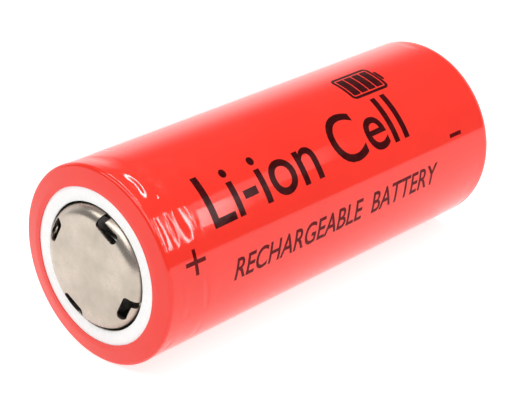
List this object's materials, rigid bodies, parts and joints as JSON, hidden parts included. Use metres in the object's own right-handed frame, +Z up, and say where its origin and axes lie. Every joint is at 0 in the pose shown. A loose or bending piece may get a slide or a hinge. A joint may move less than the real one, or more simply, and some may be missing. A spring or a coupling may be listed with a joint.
{
  "type": "cylindrical battery cell",
  "caption": "Rechargeable lithium-ion cylindrical cell in a red shrink sleeve, with a flat vented positive cap, a white insulating washer and a wound electrode roll in a steel can.",
  "frame": {"origin": "on the cell's axis, half way along its length", "axes": "X along the cell's axis, positive terminal facing -X and negative terminal facing +X; +Z up as the cell lies on its side; the printed side faces -Y"},
  "size_m": [0.065, 0.0264, 0.0264],
  "materials": {
    "red_shrink_film": "glossy heat-shrunk film, printed in black",
    "black_ink": "thin black printing ink on the film",
    "white_washer": "matt white die-cut insulating washer",
    "nickel_plated_steel": "satin nickel plating on deep-drawn steel",
    "gasket_polymer": "moulded black polypropylene",
    "ptc_composite": "dull carbon-filled polymer faced with thin metal",
    "vent_aluminium": "stamped, rolled grain",
    "insulator_polymer": "matt fibre-filled sheet",
    "separator_film": "matt microporous film",
    "anode_coating": "dull graphite coating on copper foil",
    "cathode_coating": "dull oxide coating on aluminium foil",
    "amber_tape": "thin amber polyimide tape",
    "tab_aluminium": "rolled strip",
    "tab_nickel": "rolled nickel strip"
  },
  "bodies": {
    "cell_body": {"shrink_sleeve": "red_shrink_film", "insulating_washer": "white_washer", "steel_can": "nickel_plated_steel", "crimp_gasket": "gasket_polymer", "positive_cap": "nickel_plated_steel", "ptc_ring": "ptc_composite", "vent_disc_rim": "vent_aluminium", "cid_insulator": "insulator_polymer", "cid_plate": "vent_aluminium", "upper_insulator": "insulator_polymer", "lower_insulator": "insulator_polymer", "separator_inner": "separator_film", "anode_sheet": "anode_coating", "separator_outer": "separator_film", "cathode_sheet": "cathode_coating", "roll_tape_bottom": "amber_tape", "roll_tape_top": "amber_tape", "centre_pin": "nickel_plated_steel", "positive_tab": "tab_aluminium", "negative_tab": "tab_nickel", "positive_tab_tape": "amber_tape", "negative_tab_tape": "amber_tape"},
    "vent_button": {"vent_disc_centre": "vent_aluminium"}
  },
  "joints": [
    {"name": "vent_trip", "type": "slide", "parent": "cell_body", "child": "vent_button", "axis": [-1, 0, 0], "range_m": [0, 0.0005]}
  ]
}
